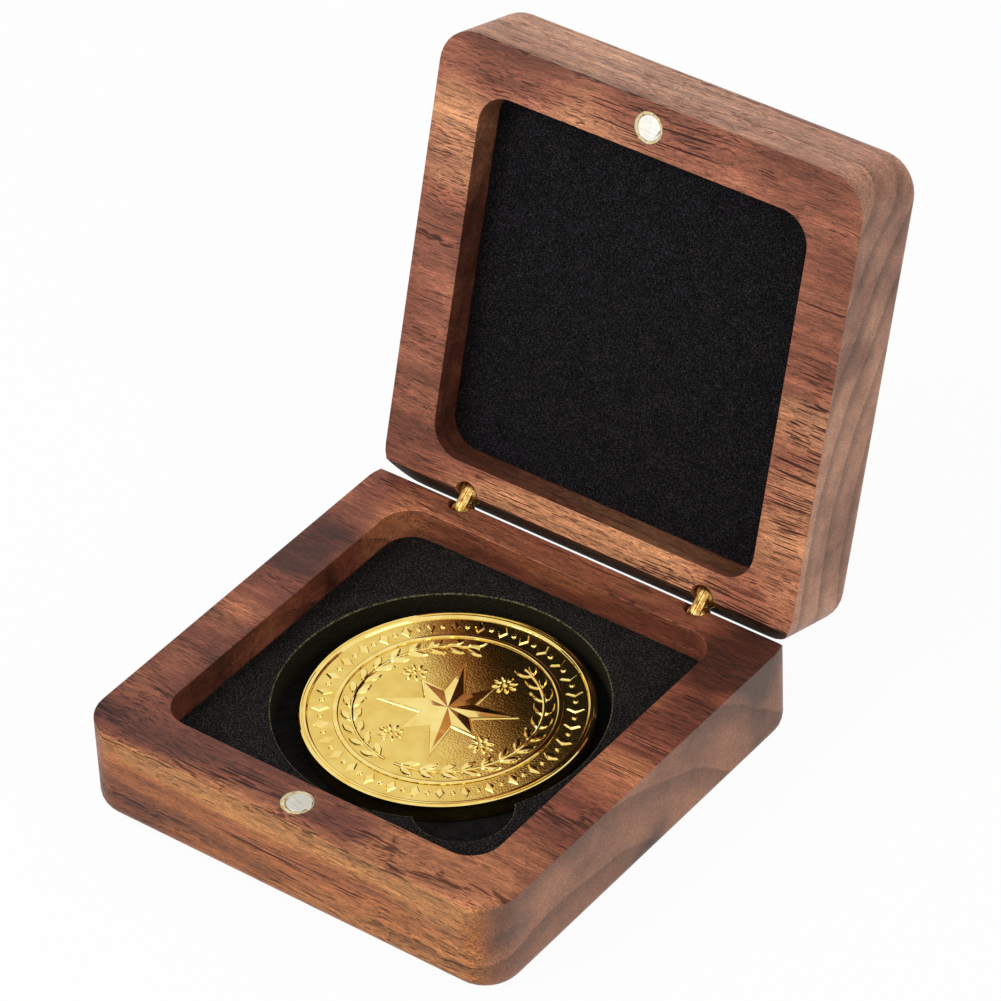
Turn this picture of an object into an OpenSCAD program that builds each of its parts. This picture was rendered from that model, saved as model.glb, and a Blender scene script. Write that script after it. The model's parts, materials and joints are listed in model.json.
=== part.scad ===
// Coin display case: two milled walnut halves on barrel hinges, with a die-cut insert for one coin.
// Millimetres. The origin is the centre of the base's underside, +Z is up and the hinge side is +Y.
// The lid and the leaves are drawn at open_angle, and 0 there is the shut case.

/* [Case] */
// Width of the case across its front
case_w = 75; // [72:0.5:100]
// Depth of the case from its front to its hinge side
case_d = 75; // [72:0.5:100]
// Height of the base block
base_h = 16; // [15:0.5:24]
// Height of the lid block
lid_h = 15.5; // [15:0.5:24]
// Radius of the four upright corners
corner_r = 6; // [4:0.25:8]
// Radius of the rounded edges of the outer faces
edge_r = 2.5; // [1:0.25:3.5]
// Size of the 45 degree bevel along the hinge side of each rim
rim_bevel = 3.6; // [3.5:0.1:4.5]
// Width of the wood left in front of, behind and beside the recesses
wall = 8.25; // [8:0.25:9.5]
// Radius of the corners of the recesses
recess_r = 5; // [3:0.25:7]
// How far the lid is drawn open
open_angle = 106.5; // [90:0.5:108]
// Gap between the two rims when the case is shut
seam_gap = 0.1; // [0.1:0.05:0.3]

/* [Insert and pad] */
// Depth of the insert's face below the base rim
insert_drop = 5; // [3.5:0.25:5.5]
// Thickness of the die-cut insert
insert_t = 5; // [4:0.25:5.5]
// Thickness of the liner under the insert
liner_t = 1.5; // [1:0.25:2]
// Gap between the soft boards and the walls of their recess
board_fit = 0.1; // [0.05:0.05:0.2]
// Depth of the lid pad's face below the lid rim
pad_drop = 5.1; // [3.5:0.1:5.5]
// Thickness of the lid pad
pad_t = 4.4; // [3:0.2:6]
// Radius of the finger notch at the pocket's edge
notch_r = 7.4; // [6:0.2:7.8]
// How far the notch's centre lies inside the pocket's edge
notch_inset = 1.7; // [0:0.1:2.5]

/* [Coin] */
// Diameter of the coin
coin_d = 44; // [38:0.5:45]
// Thickness of the coin over its raised border
coin_t = 3; // [2:0.1:3.2]
// Width of the coin's raised border
coin_border_w = 1.3; // [0.8:0.1:2]
// Height of the raised border above the coin's field
coin_border_h = 0.35; // [0.2:0.05:0.5]
// Free space round the coin in its pocket
pocket_play = 3; // [2:0.25:3.25]
// Where the coin's centre lies to the right of the pocket's centre
coin_shift_x = 0; // [-1:0.1:1]
// Where the coin's centre lies behind the pocket's centre
coin_shift_y = 1.5; // [-1.5:0.1:1.8]
// Gap under the coin
coin_gap = 0.1; // [0.1:0.05:0.2]

/* [Magnets] */
// Diameter of the disc magnets
magnet_d = 4; // [3:0.25:4.25]
// Thickness of the disc magnets
magnet_t = 2; // [1.5:0.25:3]
// Diameter of the bores that hold the magnets
magnet_bore_d = 5; // [5:0.25:6]
// Thickness of the glue under a magnet
glue_bed = 0.4; // [0.2:0.1:0.6]
// Gap between the glue and what it touches
glue_fit = 0.03; // [0.02:0.01:0.04]
// How far the base magnet sits off its bore's centre to the right
base_magnet_right = 0.24; // [0:0.02:0.3]
// How far the base magnet sits off its bore's centre towards the recess
base_magnet_in = 0.24; // [0:0.02:0.3]
// How far the lid magnet sits off its bore's centre to the right
lid_magnet_right = 0.12; // [0:0.02:0.3]
// How far the lid magnet sits off its bore's centre towards the recess
lid_magnet_in = 0.04; // [0:0.02:0.3]

/* [Hinges] */
// Distance of each hinge from the middle of the case
hinge_x = 21.75; // [15:0.25:26]
// Distance of the hinge pins from the back of the case
hinge_inset = 3.4; // [3.35:0.05:3.5]
// Depth of each hinge pin below its rim
pin_drop = 1.6; // [1.5:0.05:1.6]
// Diameter of a hinge pin
pin_d = 0.8; // [0.6:0.05:0.9]
// Distance of the pin's ends inside the barrel's sides
pin_inset = 0.15; // [0.1:0.05:0.4]
// Diameter of the hinge barrels
barrel_d = 4; // [3.6:0.1:4.2]
// Depth that a barrel reaches below its rim
barrel_l = 7; // [5:0.25:9]
// Radius of the dome at the barrel's end
barrel_dome_r = 2.1; // [2.1:0.1:6]
// Gap between a barrel and its bore
barrel_fit = 0.05; // [0.03:0.01:0.1]
// Thickness of a hinge leaf
leaf_t = 0.9; // [0.8:0.05:1.05]
// Radius of the round form that the two leaves of a hinge make together
leaf_r = 1.6; // [1.4:0.05:1.65]
// Gap beside each leaf
leaf_gap = 0.05; // [0.04:0.01:0.08]
// Gap between a pin and the leaf that turns on it
pin_play = 0.03; // [0.02:0.01:0.08]
// Gap between a pin and the barrel that holds it
pin_fit = 0.02; // [0.01:0.01:0.04]

/* [Hidden] */

// Past a face that is cut, so that a cut leaves no skin
cut = 1;
smooth = 64;
shell_fn = 32;

recess_w = case_w - 2 * wall;
recess_d = case_d - 2 * wall;
base_recess_depth = insert_drop + insert_t + liner_t;
lid_recess_depth = pad_drop + pad_t;

pocket_r = coin_d / 2 + pocket_play;
notch_at = (pocket_r - notch_inset) * cos(45);
insert_top = base_h - insert_drop;
liner_top = insert_top - insert_t;

magnet_y = wall / 2 - case_d / 2;
magnet_bore_depth = magnet_t + glue_bed;

pin_y = case_d / 2 - hinge_inset;
base_pin_z = base_h - pin_drop;
lid_pin_z = base_h + seam_gap + pin_drop;
half_angle = open_angle / 2;

slot_w = 2 * leaf_t + 3 * leaf_gap;
slot_depth = pin_drop + leaf_r + leaf_gap * 4;
leaf_x = (leaf_t + leaf_gap) / 2;
pin_l = barrel_d - 2 * pin_inset;

// Turns what it holds about a line along X
module turned_about(y, z, angle) {
    translate([0, y, z])
        rotate([angle, 0, 0])
            translate([0, -y, -z])
                children();
}

// Moves a leaf from the shut case to where the open case has it
module with_leaves() {
    turned_about(pin_y, base_pin_z, -half_angle)
        children();
}

// Moves a piece of the lid from the shut case to where the open case has it
module with_lid() {
    with_leaves()
        turned_about(pin_y, lid_pin_z, -half_angle)
            children();
}

// Turns a half drawn rim up at the origin's level over onto the base
module as_lid_half() {
    translate([0, 0, base_h + seam_gap + lid_h])
        mirror([0, 0, 1])
            children();
}

module rounded_rectangle(w, d, r) {
    square([w - 2 * r, d], center = true);
    square([w, d - 2 * r], center = true);
    for (x = [-1, 1], y = [-1, 1])
        translate([x * (w / 2 - r), y * (d / 2 - r)])
            circle(r = r, $fn = smooth);
}

// One upright corner of a block, rounded round its lower end
module block_corner(h) {
    rotate_extrude($fn = shell_fn)
        union() {
            translate([0, edge_r])
                square([corner_r, h - edge_r]);
            square([corner_r - edge_r, h]);
            intersection() {
                translate([corner_r - edge_r, edge_r])
                    circle(r = edge_r, $fn = shell_fn);
                square([corner_r, h]);
            }
        }
}

// A half of the case standing on its outer face, with its recess, bores and hinge bevel
module half_block(h, recess_depth) {
    difference() {
        hull()
            for (x = [-1, 1], y = [-1, 1])
                translate([x * (case_w / 2 - corner_r), y * (case_d / 2 - corner_r), 0])
                    block_corner(h);
        translate([0, 0, h - recess_depth])
            linear_extrude(recess_depth + cut)
                rounded_rectangle(recess_w, recess_d, recess_r);
        translate([-case_w, case_d / 2, h - rim_bevel])
            rotate([45, 0, 0])
                cube([2 * case_w, 2 * rim_bevel, 2 * rim_bevel]);
        translate([0, magnet_y, h - magnet_bore_depth])
            cylinder(h = magnet_bore_depth + cut, d = magnet_bore_d, $fn = smooth);
        for (side = [-1, 1])
            translate([side * hinge_x, pin_y, h - barrel_l - barrel_fit])
                cylinder(h = barrel_l + cut + barrel_fit, r = barrel_d / 2 + barrel_fit, $fn = smooth);
    }
}

module base_block() {
    color("saddlebrown")
        half_block(base_h, base_recess_depth);
}

module lid_block() {
    color("sienna")
        with_lid()
            as_lid_half()
                half_block(lid_h, lid_recess_depth);
}

module soft_board(t) {
    linear_extrude(t)
        rounded_rectangle(recess_w - 2 * board_fit, recess_d - 2 * board_fit, recess_r - board_fit);
}

module base_liner() {
    color([0.06, 0.06, 0.07])
        translate([0, 0, base_h - base_recess_depth])
            soft_board(liner_t);
}

module coin_insert() {
    color([0.08, 0.08, 0.09])
        translate([0, 0, liner_top])
            difference() {
                soft_board(insert_t);
                translate([0, 0, -cut])
                    cylinder(h = insert_t + 2 * cut, r = pocket_r, $fn = smooth);
                translate([notch_at, -notch_at, -cut])
                    cylinder(h = insert_t + 2 * cut, r = notch_r, $fn = smooth);
            }
}

module lid_pad() {
    color([0.08, 0.08, 0.09])
        with_lid()
            as_lid_half()
                translate([0, 0, lid_h - lid_recess_depth])
                    soft_board(pad_t);
}

// The coin's section has a raised border on both faces
module coin() {
    color([0.85, 0.66, 0.25])
        translate([coin_shift_x, coin_shift_y, liner_top + coin_gap])
            rotate_extrude($fn = smooth)
                union() {
                    translate([0, coin_border_h])
                        square([coin_d / 2, coin_t - 2 * coin_border_h]);
                    translate([coin_d / 2 - coin_border_w, 0])
                        square([coin_border_w, coin_t]);
                }
}

// A magnet in its bore, seen from the outer face of its half
module seated_magnet(h, right, in) {
    translate([right, magnet_y + in, h - magnet_t])
        cylinder(h = magnet_t, d = magnet_d, $fn = smooth);
}

module base_magnet() {
    color("silver")
        seated_magnet(base_h, base_magnet_right, base_magnet_in);
}

module lid_magnet() {
    color("silver")
        with_lid()
            as_lid_half()
                seated_magnet(lid_h, lid_magnet_right, lid_magnet_in);
}

// Set glue that fills the bore round and under a magnet
module magnet_glue(h, right, in) {
    difference() {
        translate([0, magnet_y, h - magnet_bore_depth + glue_fit])
            cylinder(h = magnet_bore_depth - glue_fit, r = magnet_bore_d / 2 - glue_fit, $fn = smooth);
        translate([right, magnet_y + in, h - magnet_t - glue_fit])
            cylinder(h = magnet_t + cut, r = magnet_d / 2 + glue_fit, $fn = smooth);
    }
}

module base_magnet_glue() {
    color("khaki")
        magnet_glue(base_h, base_magnet_right, base_magnet_in);
}

module lid_magnet_glue() {
    color("khaki")
        with_lid()
            as_lid_half()
                magnet_glue(lid_h, lid_magnet_right, lid_magnet_in);
}

// The side view of a barrel, seen about its pin: it stays on its own side of the leaves' middle as it turns
module barrel_side() {
    circle(r = pin_drop, $fn = smooth);
    translate([-barrel_d, -2 * barrel_l])
        square([barrel_d, 2 * barrel_l + pin_drop]);
    rotate(-half_angle)
        translate([0, -2 * barrel_l])
            square([2 * barrel_l, 2 * barrel_l + pin_drop]);
}

// A hinge barrel in a half of height h: domed, rounded about its pin and slotted for the leaves
module barrel(h) {
    translate([0, pin_y, h])
        difference() {
            intersection() {
                translate([0, 0, -barrel_l])
                    rotate_extrude($fn = smooth)
                        intersection() {
                            square([barrel_d / 2, barrel_l]);
                            union() {
                                square([barrel_d, barrel_l - barrel_dome_r]);
                                translate([0, barrel_l - barrel_dome_r])
                                    circle(r = barrel_dome_r, $fn = smooth);
                            }
                        }
                translate([-barrel_d, 0, -pin_drop])
                    rotate([90, 0, 90])
                        linear_extrude(2 * barrel_d)
                            barrel_side();
            }
            translate([-slot_w / 2, -barrel_d, -slot_depth])
                cube([slot_w, 2 * barrel_d, slot_depth + cut]);
            translate([-barrel_d, 0, -pin_drop])
                rotate([0, 90, 0])
                    cylinder(h = 2 * barrel_d, r = pin_d / 2 + pin_fit, $fn = smooth);
        }
}

module base_barrel(side) {
    color("goldenrod")
        translate([side * hinge_x, 0, 0])
            barrel(base_h);
}

module lid_barrel(side) {
    color("goldenrod")
        with_lid()
            translate([side * hinge_x, 0, 0])
                as_lid_half()
                    barrel(lid_h);
}

// The round form of a hinge's two leaves, with a ball about each pin
module leaf_form(side) {
    translate([side * hinge_x, pin_y, base_pin_z]) {
        sphere(r = leaf_r, $fn = smooth);
        cylinder(h = lid_pin_z - base_pin_z, r = leaf_r, $fn = smooth);
        translate([0, 0, lid_pin_z - base_pin_z])
            sphere(r = leaf_r, $fn = smooth);
    }
}

// One leaf, a flat slice of that form with a hole for each pin
module leaf(side, place) {
    color("gold")
        with_leaves()
            difference() {
                intersection() {
                    leaf_form(side);
                    translate([side * hinge_x + place * leaf_x - leaf_t / 2, pin_y - 2 * leaf_r, 0])
                        cube([leaf_t, 4 * leaf_r, 2 * base_h]);
                }
                for (z = [base_pin_z, lid_pin_z])
                    translate([side * hinge_x - barrel_d, pin_y, z])
                        rotate([0, 90, 0])
                            cylinder(h = 2 * barrel_d, r = pin_d / 2 + pin_play, $fn = smooth);
            }
}

module hinge_pin(side, z) {
    color("darkgoldenrod")
        translate([side * hinge_x - pin_l / 2, pin_y, z])
            rotate([0, 90, 0])
                cylinder(h = pin_l, d = pin_d, $fn = smooth);
}

base_block();
lid_block();
base_liner();
coin_insert();
lid_pad();
coin();
base_magnet();
lid_magnet();
base_magnet_glue();
lid_magnet_glue();
base_barrel(-1);  // hinge_base_barrel_left
base_barrel(1);  // hinge_base_barrel_right
lid_barrel(-1);  // hinge_lid_barrel_left
lid_barrel(1);  // hinge_lid_barrel_right
leaf(-1, 1);  // hinge_inner_leaf_left
leaf(1, -1);  // hinge_inner_leaf_right
leaf(-1, -1);  // hinge_outer_leaf_left
leaf(1, 1);  // hinge_outer_leaf_right
hinge_pin(-1, base_pin_z);  // hinge_base_pin_left
hinge_pin(1, base_pin_z);  // hinge_base_pin_right
with_leaves() hinge_pin(-1, lid_pin_z);  // hinge_lid_pin_left
with_leaves() hinge_pin(1, lid_pin_z);  // hinge_lid_pin_right
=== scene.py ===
import json
import math
from functools import partial

import bmesh
import bpy
from mathutils import Matrix, Vector


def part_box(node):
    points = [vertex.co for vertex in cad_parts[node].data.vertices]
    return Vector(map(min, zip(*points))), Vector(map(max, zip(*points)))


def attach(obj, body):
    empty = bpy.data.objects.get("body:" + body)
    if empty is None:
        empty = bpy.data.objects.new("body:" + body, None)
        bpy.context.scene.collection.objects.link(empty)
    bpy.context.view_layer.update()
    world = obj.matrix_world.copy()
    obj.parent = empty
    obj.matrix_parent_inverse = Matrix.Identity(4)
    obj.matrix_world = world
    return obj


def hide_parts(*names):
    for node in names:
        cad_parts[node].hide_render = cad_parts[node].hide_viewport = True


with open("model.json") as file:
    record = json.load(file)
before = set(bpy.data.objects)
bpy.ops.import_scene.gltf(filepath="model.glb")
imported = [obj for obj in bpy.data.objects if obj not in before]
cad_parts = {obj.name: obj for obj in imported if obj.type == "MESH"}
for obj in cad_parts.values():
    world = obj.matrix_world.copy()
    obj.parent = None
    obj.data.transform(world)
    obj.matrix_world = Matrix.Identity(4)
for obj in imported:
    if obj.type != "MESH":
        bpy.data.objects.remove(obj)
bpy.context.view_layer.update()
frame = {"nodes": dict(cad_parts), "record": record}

nodes = frame["nodes"]


# Base block
# The lower half of the case, milled from one walnut board with the grain along its front. Its corners and
# lower edges are rounded, the edges of its rim are only just broken with paper, and it is wiped with oil,
# which leaves the pores open.

# Corners of a CAD mesh that lie closer than this, in metres, are one corner
join_within = 0.000002


def linear(code):
    """A colour written as sRGB hex, in Blender's linear values."""
    parts = [int(code[i:i + 2], 16) / 255 for i in (1, 3, 5)]
    return [p / 12.92 if p <= 0.04045 else ((p + 0.055) / 1.055) ** 2.4 for p in parts] + [1.0]


def add_node(tree, kind, links=None, ramp=None, **settings):
    """A shader node with its settings. An input takes a value, an output or another node's first output."""
    node = tree.nodes.new("ShaderNode" + kind)
    for name, value in settings.items():
        setattr(node, name, value)
    for socket, value in (links or {}).items():
        if isinstance(value, (bpy.types.Node, bpy.types.NodeSocket)):
            tree.links.new(getattr(value, "outputs", [value])[0], node.inputs[socket])
        else:
            node.inputs[socket].default_value = value
    if ramp:
        stops = node.color_ramp.elements
        while len(stops) < len(ramp):
            stops.new(0.5)
        for stop, (place, colour) in zip(stops, ramp):
            stop.position = place
            stop.color = linear(colour)
    return node


def start_material(name):
    """An empty material, and its tree."""
    material = bpy.data.materials.new(name)
    material.use_nodes = True
    material.node_tree.nodes.clear()
    return material, material.node_tree


def finish_material(tree, links):
    """The shader that each finish of the case ends in."""
    shader = add_node(tree, "BsdfPrincipled", links)
    add_node(tree, "OutputMaterial", {"Surface": shader})


# Oiled walnut: a satin brown wood. On the faces along the grain the open pores are dark dashes 1 to 5 mm
# long, and on the end grain they are dots. They are drawn 0.2 mm wide, a little coarser than real ones, so
# that they show at this size. The annual rings run as soft darker bands.
def oiled_walnut(name, pith, ring, sway, faces, sides, ends, recess_shade, lined, patches,
                 seed=(0, 0, 0), turn=0.0, shift=(0, 0, 0)):
    """One block's walnut, with its places and sizes in mm and its tones from dark to pale.

    The years, each as wide as ring, grow about the pith, and the grain wanders by sway. lined lists where
    long pores show, and patches where the board is paler or darker, each with a centre and half a size.
    """
    material, tree = start_material(name)
    smooth = {"interpolation_type": "SMOOTHSTEP"}
    wood = partial(add_node, tree)

    # Places and directions, both as in the shut case. The grain runs along X, wanders slowly, which leaves
    # it straight enough for the long pores, and then ripples.
    coords = wood("TexCoord")
    place = wood("Mapping", {0: coords.outputs["Object"], 1: shift, 2: (turn, 0, 0), 3: (1000, 1000, 1000)})
    facing = wood("Mapping", {0: coords.outputs["Normal"], 2: (turn, 0, 0)}, vector_type="NORMAL")
    grain = wood("VectorMath", {0: place, 1: seed}, operation="ADD")
    straight = None
    for stretch, reach in (((0.016, 0.03, 0.03), sway), ((0.2, 0.12, 0.12), 1.1)):
        straight = grain
        drawn = wood("VectorMath", {0: grain, 1: stretch}, operation="MULTIPLY")
        waves = wood("TexNoise", {"Vector": drawn, "Scale": 1.0, "Detail": 2.0}).outputs["Color"]
        grain = wood("VectorMath", {0: waves, 1: (0, reach, reach), 2: grain}, operation="MULTIPLY_ADD")

    # Noise of several sizes, stretched along the grain: per mm along and across it, detail and roughness
    noise = {}
    for part, along, across, detail, rough in (
            ("tone", 0.014, 0.06, 3.0, 0.55),
            ("streak", 0.03, 0.8, 3.0, 0.6),
            ("fibre", 0.28, 5.2, 3.0, 0.65),
            ("mottle", 2.2, 3.6, 2.0, 0.5),
            ("cells", 3.6, 3.6, 2.0, 0.6),
            ("breaks", 0.05, 0.25, 2.0, 0.5),
            ("crowd", 0.05, 0.16, 2.0, 0.5),
            ("groups", 0.06, 0.2, 3.0, 0.6),
            ("lines", 0.04, 0.1, 2.0, 0.5)):
        drawn = wood("VectorMath", {0: grain, 1: (along, across, across)}, operation="MULTIPLY")
        links = {"Vector": drawn, "Scale": 1.0, "Detail": detail, "Roughness": rough}
        noise[part] = wood("TexNoise", links)

    # Which faces run along the grain and which are end grain, and where the recess, its rounded edge and the
    # lid's chamfer beside the hinges are, by direction and by distance in mm from the middle of the case.
    # That chamfer is painted near black, as painted shade.
    facing_x, facing_y, facing_z = wood("SeparateXYZ", {0: facing}).outputs
    at_x, at_y = wood("SeparateXYZ", {0: place}).outputs[:2]
    out_x, out_y, side_x, side_y, level = (wood("Math", {0: value}, operation="ABSOLUTE")
                                           for value in (at_x, at_y, facing_x, facing_y, facing_z))
    out = wood("Math", {0: out_x, 1: out_y}, operation="MAXIMUM")
    sloped = wood("VectorMath", {0: facing, 1: (0, 0.707, -0.707)}, operation="DOT_PRODUCT")
    chamfer = sloped.outputs["Value"]
    where = {}
    for part, first, first_from, first_to, second, second_from, second_to in (
            ("along", side_y, 0.35, 0.95, out_y, 32.0, 35.0),
            ("end", side_x, 0.35, 0.95, out_x, 31.0, 34.0),
            ("recess", level, 0.9, 0.35, out, 29.8, 29.5),
            ("highlight_edge_up", level, 0.15, 0.6, out, 29.8, 29.5),
            ("highlight_edge_down", level, 0.98, 0.6, out, 29.8, 29.5),
            ("chamfer", chamfer, 0.86, 0.97, at_y, 33.0, 33.6)):
        first = wood("MapRange", {0: first, 1: first_from, 2: first_to}, **smooth)
        second = wood("MapRange", {0: second, 1: second_from, 2: second_to}, **smooth)
        where[part] = wood("Math", {0: first, 1: second}, operation="MULTIPLY")
    edge = wood("Math", {0: where["highlight_edge_up"], 1: where["highlight_edge_down"]}, operation="MINIMUM")

    # Annual rings about the pith, which darken towards the year's end and stop at a broken line of pores
    flat = wood("VectorMath", {0: grain, 1: (0, 1, 1)}, operation="MULTIPLY")
    away = wood("VectorMath", {0: flat, 1: pith}, operation="DISTANCE").outputs["Value"]
    year = wood("Math", {0: away, 1: ring}, operation="DIVIDE")
    year = wood("Math", {0: year}, operation="FRACT")
    there_and_back = ("#000000", "#FFFFFF", "#FFFFFF", "#000000")
    late, border = (wood("ValToRGB", {0: year}, ramp=list(zip(places, there_and_back)))
                    for places in ((0.45, 0.88, 0.93, 0.99), (0.88, 0.92, 0.94, 0.98)))

    # Broad patches of tone, and places where the cut met the pores flat, so that they show as long lines
    tone = noise["tone"]
    lines = wood("MapRange", {0: noise["lines"], 1: 0.5, 2: 0.68, 3: 0.0, 4: 0.3}, **smooth)
    for centre, size, lift in patches + [(centre, size, None) for centre, size in lined]:
        off = wood("VectorMath", {0: place, 1: centre}, operation="SUBTRACT")
        off = wood("VectorMath", {0: off, 1: size}, operation="DIVIDE")
        off = wood("VectorMath", {0: off}, operation="LENGTH").outputs["Value"]
        share = wood("MapRange", {0: off, 1: 0.3, 2: 1.1, 3: 0.4 if lift is None else lift, 4: 0.0}, **smooth)
        if lift is None:
            lines = wood("Math", {0: lines, 1: share}, operation="MAXIMUM")
        else:
            tone = wood("Math", {0: tone, 1: share}, operation="ADD")
    tone = wood("Mix", {0: where["recess"], 2: tone, 3: noise["tone"]})
    colour, along, end = (wood("ValToRGB", {0: tone}, ramp=list(zip((0.34, 0.5, 0.66), tones)))
                          for tones in (faces, sides, ends))

    # A Mix node takes two colours at sockets 6 and 7 and gives the mixed one at 2
    # The faces along the grain take lighter tones: partly their own figure, partly painted light, as they are
    # the faces that the light falls on most
    colour = wood("Mix", {0: where["along"], 6: colour, 7: along}, data_type="RGBA").outputs[2]
    colour = wood("Mix", {0: where["end"], 6: colour, 7: end}, data_type="RGBA").outputs[2]

    # Each of these darkens or lightens the wood, and by a power of that on the end grain
    light = 1.0
    for value, low, high, at_low, at_high, on_end in (
            (noise["fibre"], 0.3, 0.7, 0.58, 1.4, 0.4),
            (noise["mottle"], 0.3, 0.7, 0.85, 1.15, 0.4),
            (noise["streak"], 0.3, 0.7, 0.75, 1.23, 0.4),
            (late, 0.0, 1.0, 1.05, 0.82, 1.8),
            # painted shade: the recess is darkened by the factor given for it
            (where["recess"], 0.0, 1.0, 1.0, recess_shade, 1.0),
            # painted highlight: the recess's rounded edge is lightened
            (edge, 0.2, 0.8, 1.0, 1.75, 1.0),
            # painted shade: the lid's chamfer beside the hinges is darkened
            (where["chamfer"], 0.0, 1.0, 1.0, 0.16, 1.0)):
        factor = wood("MapRange", {0: value, 1: low, 2: high, 3: at_low, 4: at_high}, **smooth)
        if on_end != 1.0:
            share = wood("MapRange", {0: where["end"], 3: 1.0, 4: on_end})
            factor = wood("Math", {0: factor, 1: share}, operation="POWER")
        light = wood("Math", {0: light, 1: factor}, operation="MULTIPLY")
    factor = wood("MapRange", {0: noise["cells"], 1: 0.3, 2: 0.7, 3: 0.72, 4: 1.28})
    factor = wood("Math", {0: factor, 1: where["end"]}, operation="POWER")
    light = wood("Math", {0: light, 1: factor}, operation="MULTIPLY")

    # Pores: thin dashes everywhere, wider ones in groups, long lines, and those at the year's border
    crowd = wood("MapRange", {0: noise["crowd"], 1: 0.34, 2: 0.66, 3: 0.14, 4: 0.38}, **smooth)
    groups = wood("MapRange", {0: noise["groups"], 1: 0.42, 2: 0.68, 3: -0.06, 4: 0.3}, **smooth)
    broken = wood("MapRange", {0: noise["breaks"], 1: 0.38, 2: 0.5, 3: 0.0, 4: 0.6}, **smooth)
    broken = wood("Math", {0: broken, 1: border}, operation="MULTIPLY")
    dark = 0.0
    for width, follows, stretch, soft, depth, on_end in (
            (crowd, grain, (0.24, 3.6, 3.6), 0.1, 0.78, 0.22),
            (groups, grain, (0.12, 3.3, 3.3), 0.1, 0.95, 0.3),
            (lines, straight, (0.028, 3.5, 3.5), 0.07, 1.0, 0.1),
            (broken, grain, (0.16, 2.6, 2.6), 0.2, 0.8, 0.15)):
        drawn = wood("VectorMath", {0: follows, 1: stretch}, operation="MULTIPLY")
        off = wood("TexVoronoi", {"Vector": drawn, "Scale": 1.0}).outputs["Distance"]
        pore = wood("Math", {0: width, 1: off}, operation="SUBTRACT")
        pore = wood("MapRange", {0: pore, 1: 0.0, 2: soft}, **smooth)
        share = wood("MapRange", {0: where["end"], 3: depth, 4: on_end})
        pore = wood("Math", {0: pore, 1: share}, operation="MULTIPLY")
        dark = wood("Math", {0: dark, 1: pore}, operation="MAXIMUM")

    times = {"data_type": "RGBA", "blend_type": "MULTIPLY"}
    shaded = wood("Mix", {0: 1.0, 6: colour, 7: light}, **times).outputs[2]
    pored = wood("Mix", {0: 1.0, 6: shaded, 7: linear("#5E3A33")}, **times).outputs[2]
    final = wood("Mix", {0: dark, 6: shaded, 7: pored}, data_type="RGBA").outputs[2]
    ridge = wood("MapRange", {0: noise["fibre"], 1: 0.3, 2: 0.7, 3: 0.18, 4: 0.5})
    height = wood("Math", {0: ridge, 1: dark}, operation="SUBTRACT")
    bump = wood("Bump", {"Height": height, "Strength": 0.8, "Distance": 0.00005})
    gloss = wood("MapRange", {0: dark, 1: 0.0, 2: 0.6, 3: 0.46, 4: 0.65})
    # Less specular on the chamfer, so that its painted shade is not lifted by reflections
    sheen = wood("MapRange", {0: where["chamfer"], 3: 0.3, 4: 0.03})
    finish_material(tree, {"Base Color": final, "Roughness": gloss, "Specular IOR Level": sheen,
                           "Normal": bump})
    return material


def dress(name, material, edge=0.00012):
    """Gives a CAD node its finish, and breaks its sharp edges by a hair."""
    piece = nodes[name]
    piece.data.materials.clear()
    piece.data.materials.append(material)
    weld = piece.modifiers.new("joined", "WELD")
    weld.merge_threshold = join_within
    if edge:
        bevel = piece.modifiers.new("broken edges", "BEVEL")
        bevel.width = edge
        bevel.segments = 2
        bevel.limit_method = "ANGLE"
        bevel.angle_limit = math.radians(40)
        bevel.use_clamp_overlap = False
        bevel.harden_normals = False
    for face in piece.data.polygons:
        face.use_smooth = True
    even = piece.modifiers.new("even shading", "WEIGHTED_NORMAL")
    even.keep_sharp = False


base_walnut = oiled_walnut(
    "base oiled walnut", pith=(0, -18, -48), ring=9.9, sway=7.0,
    faces=("#4E281C", "#8A4C38", "#C47C54"), sides=("#7E4528", "#AB6638", "#C4844C"),
    ends=("#5C453A", "#8A5F49", "#A27056"), recess_shade=0.8,
    lined=[((34, 2, 16), (8, 10, 8)), ((-14, -34, 16), (20, 4, 8)), ((2, -37, 8.4), (30, 5, 1.9))],
    patches=[((-6, -34, 16), (24, 6, 8), -0.08), ((26, -34, 16), (16, 7, 8), 0.34),
             ((34, 26, 16), (10, 14, 8), -0.26), ((34, 2, 17), (8, 9, 6), 0.08),
             ((-34, -12, 16), (7, 16, 8), 0.13), ((-34, 20, 16), (7, 14, 8), -0.17),
             ((-10, -38, 14), (40, 5, 4), 0.28), ((-34, -37, 3), (20, 8, 7), -0.14),
             ((-38, -33, 8), (5, 9, 12), -0.1), ((37, -34, 12), (9, 8, 6), -0.12),
             ((37, 14, 14), (9, 5, 9), -0.12), ((37, 27, 10), (9, 3, 12), -0.1),
             ((37, -5, 6), (9, 12, 6), 0.07), ((37, -12, 0), (9, 16, 5), -0.1)])
dress("base_block", base_walnut)


# Base liner
# A sheet of thin black wool felt, cut to the recess with rounded corners and laid on its floor under the
# insert. The coin lies on it, so it shows in the pocket and in the finger notch.

def merged_copy(node):
    """A new piece that starts from a CAD node's mesh, joined up and with its flat faces made whole."""
    shape = bmesh.new()
    shape.from_mesh(nodes[node].data)
    bmesh.ops.remove_doubles(shape, verts=shape.verts, dist=join_within)
    bmesh.ops.dissolve_limit(shape, angle_limit=math.radians(1), verts=shape.verts, edges=shape.edges)
    return shape


def make_piece(shape, name, material, body, sharp=35):
    """Turns a bmesh into a piece that rides on a body. Edges of more than sharp degrees stay crisp."""
    bmesh.ops.recalc_face_normals(shape, faces=shape.faces)
    mesh = bpy.data.meshes.new(name)
    shape.to_mesh(mesh)
    shape.free()
    mesh.shade_smooth()
    mesh.set_sharp_from_angle(angle=math.radians(sharp))
    mesh.materials.append(material)
    piece = bpy.data.objects.new(name, mesh)
    bpy.context.scene.collection.objects.link(piece)
    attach(piece, body)
    return piece


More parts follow.
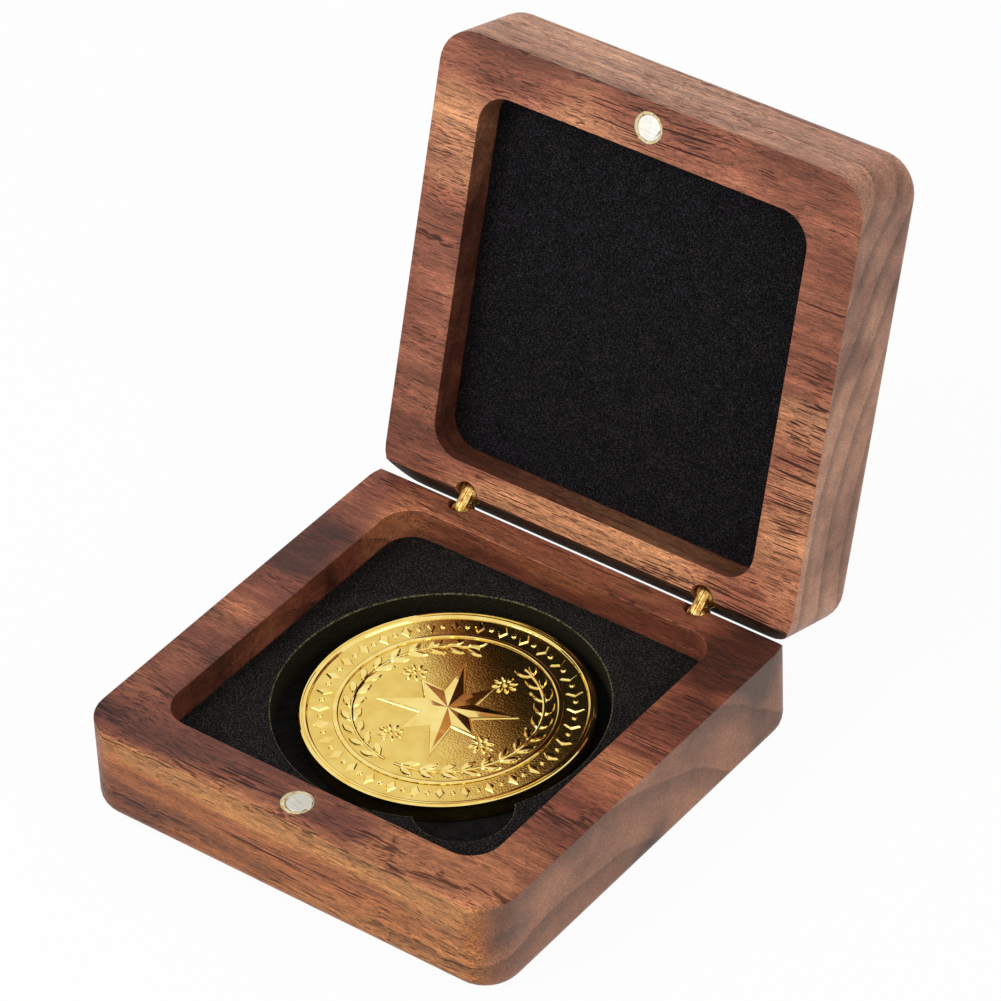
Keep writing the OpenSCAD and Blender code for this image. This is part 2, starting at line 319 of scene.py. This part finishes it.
# Wool felt: matt and near black, with loose fibres that catch the light. They are drawn 0.24 mm wide, far
# coarser than real ones, so that they show.
def wool_felt(name, dark, pale, grit=0.24):
    material, tree = start_material(name)
    coords = add_node(tree, "TexCoord")
    fibres = add_node(tree, "TexNoise", {"Vector": coords.outputs["Object"], "Scale": 1000 / grit,
                                         "Detail": 3.0, "Roughness": 0.65})
    tufts = add_node(tree, "TexNoise", {"Vector": coords.outputs["Object"], "Scale": 1000 / (grit * 7),
                                        "Detail": 2.0})
    mixed = add_node(tree, "Mix", {0: 0.25, 2: fibres, 3: tufts})
    colour = add_node(tree, "ValToRGB", {0: mixed}, ramp=[(0.38, dark), (0.66, pale)])
    bump = add_node(tree, "Bump", {"Height": fibres, "Strength": 0.8, "Distance": 0.00008})
    finish_material(tree, {"Base Color": colour, "Roughness": 1.0, "Specular IOR Level": 0.08,
                           "Normal": bump})
    return material


liner_felt = wool_felt("black wool felt", "#060606", "#2A2829")
liner_shape = merged_copy("base_liner")
base_liner = make_piece(liner_shape, "felt_liner", liner_felt, "base")
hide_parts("base_liner")


# Coin insert
# A board of black foam with a flocked face, die-cut with a round pocket and a round finger notch and
# pressed into the recess. The cut walls are bare foam, and loose flock stands along their top edge.

# Flocked foam: short black nylon flock on the face, drawn in tufts 0.24 mm wide so that it shows, and open
# olive-black foam where it is cut
def flocked_foam(name, up, face_tones, edge_lift):
    material, tree = start_material(name)
    coords = add_node(tree, "TexCoord")
    flock = add_node(tree, "TexNoise", {"Vector": coords.outputs["Object"], "Scale": 1000 / 0.24,
                                        "Detail": 3.0, "Roughness": 0.7})
    drift = add_node(tree, "TexNoise", {"Vector": coords.outputs["Object"], "Scale": 1000 / 2.4,
                                        "Detail": 3.0})
    mixed = add_node(tree, "Mix", {0: 0.08, 2: flock, 3: drift})
    face = add_node(tree, "ValToRGB", {0: mixed}, ramp=list(zip((0.4, 0.52, 0.64), face_tones)))
    cut = add_node(tree, "ValToRGB", {0: mixed}, ramp=[(0.38, "#12100A"), (0.66, "#2E2B1E")])
    fuzz = add_node(tree, "ValToRGB", {0: mixed}, ramp=[(0.44, "#151310"), (0.58, edge_lift)])
    level = add_node(tree, "VectorMath", {0: coords.outputs["Normal"], 1: up}, operation="DOT_PRODUCT")
    on_face = add_node(tree, "MapRange", {0: level.outputs["Value"], 1: 0.9, 2: 0.985})
    on_cut = add_node(tree, "MapRange", {0: level.outputs["Value"], 1: 0.35, 2: 0.1})
    colour = add_node(tree, "Mix", {0: on_face, 6: fuzz, 7: face}, data_type="RGBA").outputs[2]
    colour = add_node(tree, "Mix", {0: on_cut, 6: colour, 7: cut}, data_type="RGBA").outputs[2]
    bump = add_node(tree, "Bump", {"Height": flock, "Strength": 0.9, "Distance": 0.00009})
    finish_material(tree, {"Base Color": colour, "Roughness": 1.0, "Specular IOR Level": 0.08,
                           "Normal": bump})
    return material


def soften_face(shape, up, at, width):
    """Rounds over the edges of a board's top face, which lies at that distance along up."""
    edges = [e for e in shape.edges
             if all(abs(v.co.dot(up) - at) < 0.00002 for v in e.verts)
             and len(e.link_faces) == 2 and e.calc_face_angle() > math.radians(50)]
    bmesh.ops.bevel(shape, geom=edges, offset=width, offset_type="OFFSET", segments=3, profile=0.5,
                    affect="EDGES", material=-1)


insert_foam = flocked_foam("flocked foam board", (0, 0, 1), ("#0A0908", "#1C1A19", "#4A4643"), "#7C785A")
insert_shape = merged_copy("coin_insert")
insert_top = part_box("coin_insert")[1].z
soften_face(insert_shape, Vector((0, 0, 1)), insert_top, 0.00022)
coin_insert = make_piece(insert_shape, "flocked_insert", insert_foam, "base")
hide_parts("coin_insert")


# Coin
# A struck brass medal with bright gilding, 44 mm across, with a raised border and a raised ring. It
# lies loose in the pocket. Its design is a star in a laurel wreath, with a band of lozenges and beads.

coin_low, coin_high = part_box("coin")
coin_centre = Vector(((coin_low.x + coin_high.x) / 2, (coin_low.y + coin_high.y) / 2, coin_low.z))
coin_shape = bmesh.new()

# The field's height above the back, and how deep each motif's foot is sunk in it, in mm
coin_field = 2.65
sunk = 0.06

# Its section from the middle of the back, round the edge, over the grooved border and the ring, in mm
profile = [(0, 0.35), (20.4, 0.35), (20.7, 0.08), (20.95, 0), (21.6, 0), (21.88, 0.1), (22, 0.35),
           (22, 2.65), (21.88, 2.9), (21.7, 3), (21.5, 3), (21.42, 2.84), (21.3, 2.84), (21.22, 3),
           (20.95, 3), (20.8, 2.95), (20.6, coin_field), (16.95, coin_field), (16.88, 2.84), (16.75, 2.88),
           (16.3, 2.88), (16.17, 2.84), (16.1, coin_field), (0, coin_field)]
outline = [coin_shape.verts.new((r, 0, z)) for r, z in profile]
section = [coin_shape.edges.new(pair) for pair in zip(outline, outline[1:])]
bmesh.ops.spin(coin_shape, geom=outline + section, cent=(0, 0, 0), axis=(0, 0, 1), angle=math.tau,
               steps=200, use_merge=True)
bmesh.ops.remove_doubles(coin_shape, verts=coin_shape.verts, dist=0.0005)


def strike(radius, angle, long, wide, high, sides=12, top=0.74, crown=0.06, turned=0.0, pointed=0.0,
           about=(0, 0)):
    """One raised motif: steep walls with their foot sunk in the field, and a top that rises to its middle."""
    made = bmesh.ops.create_cone(coin_shape, cap_ends=True, segments=sides, radius1=1, radius2=top,
                                 depth=1)["verts"]
    lids = [f for f in {f for v in made for f in v.link_faces} if all(v.co.z > 0 for v in f.verts)]
    peak = bmesh.ops.poke(coin_shape, faces=lids)["verts"]
    for v in peak:
        v.co.z += crown / (high + sunk)
    made = made + peak
    for v in made:
        taper = 1 - pointed * v.co.x ** 2
        v.co = Vector((v.co.x * long / 2, v.co.y * taper * wide / 2, (v.co.z + 0.5) * (high + sunk)))
    place = (Matrix.Translation((*about, 0)) @ Matrix.Rotation(angle, 4, "Z")
             @ Matrix.Translation((radius, 0, coin_field - sunk)) @ Matrix.Rotation(turned, 4, "Z"))
    bmesh.ops.transform(coin_shape, matrix=place, verts=made)


# A band of lozenges with a bead between each two
band = 18.75
for i in range(32):
    at = math.tau * i / 32
    strike(band, at, 2.9, 1.75, 0.24, sides=4, top=0.7)
    strike(band, at + math.tau / 64, 0.95, 0.95, 0.22, sides=14, top=0.62, crown=0.04)

# Two laurel branches that start at the front and almost meet behind, with their leaves in pairs
wreath = 14.1
for side in (-1, 1):
    for i in range(13):
        at = -math.pi / 2 + side * (0.2 + i * 0.214)
        for lean in (-1, 1):
            strike(wreath + lean * 0.86, at + side * 0.03, 3.3, 1.3, 0.25, sides=16, top=0.7, crown=0.05,
                   pointed=0.8, turned=side * math.pi / 2 - side * lean * 0.46)
        if i % 3 == 1:
            strike(12.55, at + side * 0.1, 0.7, 0.7, 0.24, sides=12, top=0.6)
    stem = [coin_shape.verts.new((wreath + x, 0, coin_field - 0.05 + z))
            for x, z in ((-0.24, 0), (-0.19, 0.2), (0, 0.27), (0.19, 0.2), (0.24, 0))]
    end = coin_shape.faces.new(stem)
    bmesh.ops.rotate(coin_shape, verts=stem, cent=(0, 0, 0),
                     matrix=Matrix.Rotation(-math.pi / 2 + side * 0.06, 3, "Z"))
    bmesh.ops.spin(coin_shape, geom=[end] + list(end.edges) + stem, cent=(0, 0, 0), axis=(0, 0, 1),
                   angle=side * 2.78, steps=48)

# Eight-petalled flowers between the star's long points
for i in range(4):
    at = math.tau * (i + 0.5) / 4 + math.pi / 8
    middle = (9.75 * math.cos(at), 9.75 * math.sin(at))
    for j in range(8):
        strike(1.32, math.tau * j / 8, 1.5, 0.82, 0.22, sides=12, top=0.66, crown=0.05, about=middle)
    strike(0, 0, 0.95, 0.95, 0.28, sides=12, top=0.6, about=middle)

# The star: eight points on a low step, with sixteen facets that fall from its middle
long_tip, short_tip, notch = 10.9, 8.0, 4.5
for size, foot, rise, slope in ((1.0, 0.0, 0.14, 0.3), (0.88, 0.08, 0.12, 0.16)):
    star = bmesh.ops.create_cone(coin_shape, cap_ends=True, segments=16, radius1=1, radius2=1,
                                 depth=1)["verts"]
    lids = [f for f in {f for v in star for f in v.link_faces} if all(v.co.z > 0 for v in f.verts)]
    for v in star:
        step = round(math.degrees(math.atan2(v.co.y, v.co.x)) / 22.5) % 16
        reach = size * (notch if step % 2 else long_tip if step % 4 == 0 else short_tip)
        reach -= slope if v.co.z > 0 else 0
        v.co = Vector((v.co.x * reach, v.co.y * reach, foot + rise if v.co.z > 0 else foot - 0.04))
    if foot:
        for v in bmesh.ops.poke(coin_shape, faces=lids)["verts"]:
            v.co.z += 0.13
            star.append(v)
    bmesh.ops.rotate(coin_shape, verts=star, cent=(0, 0, 0), matrix=Matrix.Rotation(math.pi / 8, 3, "Z"))
    bmesh.ops.translate(coin_shape, verts=star, vec=(0, 0, coin_field))

bmesh.ops.holes_fill(coin_shape, edges=[e for e in coin_shape.edges if len(e.link_faces) == 1], sides=0)
bmesh.ops.scale(coin_shape, vec=(0.001, 0.001, 0.001), verts=coin_shape.verts)
bmesh.ops.translate(coin_shape, vec=coin_centre, verts=coin_shape.verts)

# Gilded brass: raised parts polished to a mirror, on a field with the fine stipple of a blasted die, which
# is drawn 0.3 mm wide, a little coarser than real, so that it shows
gilt, tree = start_material("gilded struck brass")
coords = add_node(tree, "TexCoord")
swell = add_node(tree, "TexNoise", {"Vector": coords.outputs["Object"], "Scale": 1000 / 2.6,
                                    "Detail": 2.0})
stipple = add_node(tree, "TexNoise", {"Vector": coords.outputs["Object"], "Scale": 1000 / 0.3,
                                      "Detail": 2.0})
level = add_node(tree, "SeparateXYZ", {0: coords.outputs["Object"]}).outputs["Z"]
field_level = coin_low.z + coin_field / 1000
raised = add_node(tree, "MapRange", {0: level, 1: field_level + 0.00003, 2: field_level + 0.00012})
blasted = add_node(tree, "MapRange", {0: raised, 3: 1.0, 4: 0.0})
grit = add_node(tree, "Math", {0: stipple, 1: blasted}, operation="MULTIPLY")
first = add_node(tree, "Bump", {"Height": swell, "Strength": 1.0, "Distance": 0.000009})
second = add_node(tree, "Bump", {"Height": grit, "Strength": 1.0, "Distance": 0.00002, "Normal": first})
shine = add_node(tree, "ValToRGB", {0: swell}, ramp=[(0.3, "#EFCF73"), (0.7, "#F9E392")])
matt = add_node(tree, "ValToRGB", {0: swell}, ramp=[(0.3, "#E0BC5F"), (0.7, "#ECCE73")])
tint = add_node(tree, "Mix", {0: raised, 6: matt, 7: shine}, data_type="RGBA").outputs[2]
wear = add_node(tree, "MapRange", {0: raised, 3: 0.12, 4: 0.05})
finish_material(tree, {"Base Color": tint, "Metallic": 1.0, "Roughness": wear, "Normal": second})
coin = make_piece(coin_shape, "struck_coin", gilt, "coin", sharp=28)

# The star's facets stay flat, so that each catches the light by itself
for face in coin.data.polygons:
    out = (face.center - coin_centre).to_2d().length
    if out < 0.0105 and 0.9 < face.normal.z < 0.99999:
        face.use_smooth = False
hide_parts("coin")


# Magnet and glue in the base rim
# A disc magnet with nickel plating, pushed to one side of its bore and set in pale yellow glue that fills
# the bore level with the rim. Its face has fine marks that run one way.

# Nickel plate: a pale warm metal, dulled by handling and brushed one way. The brush marks are drawn
# 0.25 mm wide, coarser than real ones, so that they show.
def nickel_plate(name, dull, bright):
    material, tree = start_material(name)
    coords = add_node(tree, "TexCoord")
    scuffs = add_node(tree, "Mapping", {"Vector": coords.outputs["Object"], "Rotation": (0, 0, 0.6),
                                        "Scale": (500, 4000, 4000)})
    marks = add_node(tree, "TexNoise", {"Vector": scuffs, "Scale": 1.0, "Detail": 2.0})
    tint = add_node(tree, "ValToRGB", {0: marks}, ramp=[(0.35, dull), (0.65, bright)])
    gloss = add_node(tree, "MapRange", {0: marks, 1: 0.35, 2: 0.65, 3: 0.38, 4: 0.5})
    bump = add_node(tree, "Bump", {"Height": marks, "Strength": 0.4, "Distance": 0.000006})
    finish_material(tree, {"Base Color": tint, "Metallic": 1.0, "Roughness": gloss, "Normal": bump})
    return material


# Set glue: pale yellow, lumpy and a little glossy
set_glue, tree = start_material("set yellow glue")
coords = add_node(tree, "TexCoord")
lumps = add_node(tree, "TexNoise", {"Vector": coords.outputs["Object"], "Scale": 1400.0, "Detail": 3.0})
tint = add_node(tree, "ValToRGB", {0: lumps}, ramp=[(0.3, "#D4B47A"), (0.6, "#F2E0B2")])
bump = add_node(tree, "Bump", {"Height": lumps, "Strength": 0.6, "Distance": 0.00008})
finish_material(tree, {"Base Color": tint, "Roughness": 0.38, "IOR": 1.5, "Coat Weight": 0.3,
                       "Coat Roughness": 0.2, "Normal": bump})

dress("base_magnet", nickel_plate("brushed nickel plate", "#C4BFB3", "#DBD6CA"), edge=0.00015)
dress("base_magnet_glue", set_glue, edge=0)


# Barrel hinges
# Two small hinges of turned brass. Each has a domed barrel glued into a bore in either half, and two
# stamped leaves that swing on hard brass pins in the barrels' slots.

# Turned brass: warm and half bright, with tool marks and patches of brown tarnish
turned_brass, tree = start_material("turned brass")
coords = add_node(tree, "TexCoord")
tarnish = add_node(tree, "TexNoise", {"Vector": coords.outputs["Object"], "Scale": 1000 / 0.9,
                                      "Detail": 4.0, "Roughness": 0.6})
tool = add_node(tree, "TexNoise", {"Vector": coords.outputs["Object"], "Scale": 1000 / 0.12,
                                   "Detail": 1.0})
tint = add_node(tree, "ValToRGB", {0: tarnish},
                ramp=[(0.34, "#7E5A2C"), (0.48, "#C79A4E"), (0.62, "#EBCB86")])
gloss = add_node(tree, "MapRange", {0: tarnish, 1: 0.35, 2: 0.65, 3: 0.42, 4: 0.24})
bump = add_node(tree, "Bump", {"Height": tool, "Strength": 0.6, "Distance": 0.000012})
finish_material(tree, {"Base Color": tint, "Metallic": 1.0, "Roughness": gloss, "Normal": bump})
for side in ("left", "right"):
    dress(f"hinge_base_barrel_{side}", turned_brass, edge=0.00005)
    dress(f"hinge_base_pin_{side}", turned_brass, edge=0.00004)
    dress(f"hinge_inner_leaf_{side}", turned_brass, edge=0.0001)
    dress(f"hinge_outer_leaf_{side}", turned_brass, edge=0.0001)
    dress(f"hinge_lid_barrel_{side}", turned_brass, edge=0.00005)
    dress(f"hinge_lid_pin_{side}", turned_brass, edge=0.00004)


# Lid block
# The upper half of the case, milled from the next length of the same kind of board. It stands open on
# the hinges, and its grain is laid out as it lies when the case is shut.

# The leaves lean half as far as the lid stands open. Turned back by the whole of that and shifted, in mm,
# the lid lies shut on the base.
joints = {joint["name"]: joint for joint in frame["record"]["behaviour"]["joints"]}
pins = {name: Vector(joints[name]["pos_m"]) for name in ("leaf_turn", "lid_turn")}
lift = pins["lid_turn"] - pins["leaf_turn"]
opened = 2 * math.atan2(lift.y, lift.z)
shut_pin = pins["leaf_turn"] + Vector((0, 0, lift.length))
lid_shift = 1000 * (shut_pin - Matrix.Rotation(opened, 3, "X") @ pins["lid_turn"])
lid_walnut = oiled_walnut(
    "lid oiled walnut", pith=(0, 22, 96), ring=5.0, sway=6.0, seed=(140, 0, 0),
    faces=("#74402E", "#A4634A", "#D6956A"), sides=("#A87056", "#C28C6E", "#D49C7C"),
    ends=("#7E5442", "#A87A60", "#C49274"), recess_shade=0.46,
    lined=[((22, 34, 16), (26, 7, 8)), ((-18, 34, 16), (16, 6, 8)), ((34, 8, 16), (7, 30, 8)),
           ((0, -34, 16), (22, 6, 8))],
    patches=[((-4, 34, 16), (28, 7, 8), 0.26), ((34, 20, 16), (9, 14, 8), 0.08),
             ((28, 34, 16), (12, 6, 8), -0.06), ((34, 2, 16), (9, 16, 8), 0.05),
             ((34, -16, 16), (9, 12, 8), -0.06), ((-34, -4, 16), (8, 40, 8), 0.06),
             ((-24, -34, 16), (14, 7, 8), -0.18), ((2, -34, 16), (16, 7, 8), -0.09),
             ((26, -34, 16), (12, 7, 8), -0.13), ((37, -30, 22), (9, 14, 12), -0.08),
             ((38, 2, 24), (6, 16, 12), 0.07)],
    turn=opened, shift=lid_shift)
dress("lid_block", lid_walnut)


# Lid pad
# A board of the same flocked foam, glued to the floor of the lid's recess. It faces down when the case is
# shut.

lid_facing = Matrix.Rotation(-opened, 3, "X") @ Vector((0, 0, -1))
pad_foam = flocked_foam("flocked foam pad", lid_facing, ("#070607", "#151416", "#39363A"), "#3A3734")
pad_shape = merged_copy("lid_pad")
pad_level = max(v.co.dot(lid_facing) for v in pad_shape.verts)
soften_face(pad_shape, lid_facing, pad_level, 0.0003)
lid_pad = make_piece(pad_shape, "flocked_lid_pad", pad_foam, "lid")
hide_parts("lid_pad")


# Magnet and glue in the lid rim
# The mate of the base's magnet, set in the same way, which holds the case shut.

# Painted reflection: the same nickel as the base's magnet, in paler tones that stand in for the white
# surroundings it reflects
dress("lid_magnet", nickel_plate("bright nickel plate", "#EEEAE0", "#FAF7EE"), edge=0.00015)
dress("lid_magnet_glue", set_glue, edge=0)


# Floor and light
# A plain white sweep under soft studio light. It turns white for the camera and for reflections, and
# keeps the case's shadow.

floor_shape = bmesh.new()
bmesh.ops.create_grid(floor_shape, x_segments=1, y_segments=1, size=2.0)
bmesh.ops.translate(floor_shape, verts=floor_shape.verts, vec=(0, 0, -0.0001))
floor_mesh = bpy.data.meshes.new("floor")
floor_shape.to_mesh(floor_mesh)
floor_shape.free()
floor = bpy.data.objects.new("floor", floor_mesh)
bpy.context.scene.collection.objects.link(floor)


def sight(tree):
    """1 where a surface is seen, also in a reflection or through something, and 0 where it lights others."""
    path = add_node(tree, "LightPath").outputs
    seen = add_node(tree, "Math", {0: path["Is Camera Ray"], 1: path["Is Glossy Ray"]}, operation="MAXIMUM")
    return add_node(tree, "Math", {0: seen, 1: path["Is Transmission Ray"]}, operation="MAXIMUM")


# White paper: matt, and nearly pure white to the eye
sweep, tree = start_material("white paper sweep")
share = add_node(tree, "Math", {0: sight(tree), 1: 0.95}, operation="MULTIPLY")
paper = add_node(tree, "BsdfDiffuse", {"Color": linear("#FAFAFA")})
glow = add_node(tree, "Emission", {"Color": (1, 1, 1, 1), "Strength": 1.0})
both = add_node(tree, "MixShader", {0: share, 1: paper, 2: glow})
add_node(tree, "OutputMaterial", {"Surface": both})
floor_mesh.materials.append(sweep)

world = bpy.data.worlds.new("studio")
bpy.context.scene.world = world
world.use_nodes = True
tree = world.node_tree
tree.nodes.clear()
level = add_node(tree, "Math", {0: sight(tree), 1: 0.45, 2: 0.55}, operation="MULTIPLY_ADD")
sky = add_node(tree, "Background", {"Color": (1, 1, 1, 1), "Strength": level})
add_node(tree, "OutputWorld", {"Surface": sky})


def softbox(name, place, aim, size, power):
    """A square area lamp that faces a point."""
    lamp = bpy.data.lights.new(name, "AREA")
    lamp.shape = "SQUARE"
    lamp.size = size
    lamp.energy = power
    stand = bpy.data.objects.new(name, lamp)
    stand.location = place
    stand.rotation_euler = (Vector(aim) - Vector(place)).to_track_quat("-Z", "Y").to_euler()
    bpy.context.scene.collection.objects.link(stand)


softbox("key", (-0.45, -0.75, 0.75), (0, 0, 0.02), 0.5, 4.5)
softbox("fill", (0.9, -0.1, 0.6), (0, 0, 0.02), 0.6, 2.0)


# Camera
# A long lens at the photograph's own angle, fitted to the corners of the case.

lens = bpy.data.cameras.new("camera")
lens.lens = 210.304
lens.sensor_width = 36
lens.clip_start = 0.01
lens.clip_end = 10
camera = bpy.data.objects.new("camera", lens)
camera.location = (0.41171228, -0.50216693, 0.56549739)
camera.rotation_euler = [math.radians(a) for a in (51.4225, 2.0823, 36.8001)]
bpy.context.scene.collection.objects.link(camera)
bpy.context.scene.camera = camera
bpy.context.scene.view_settings.view_transform = "Standard"
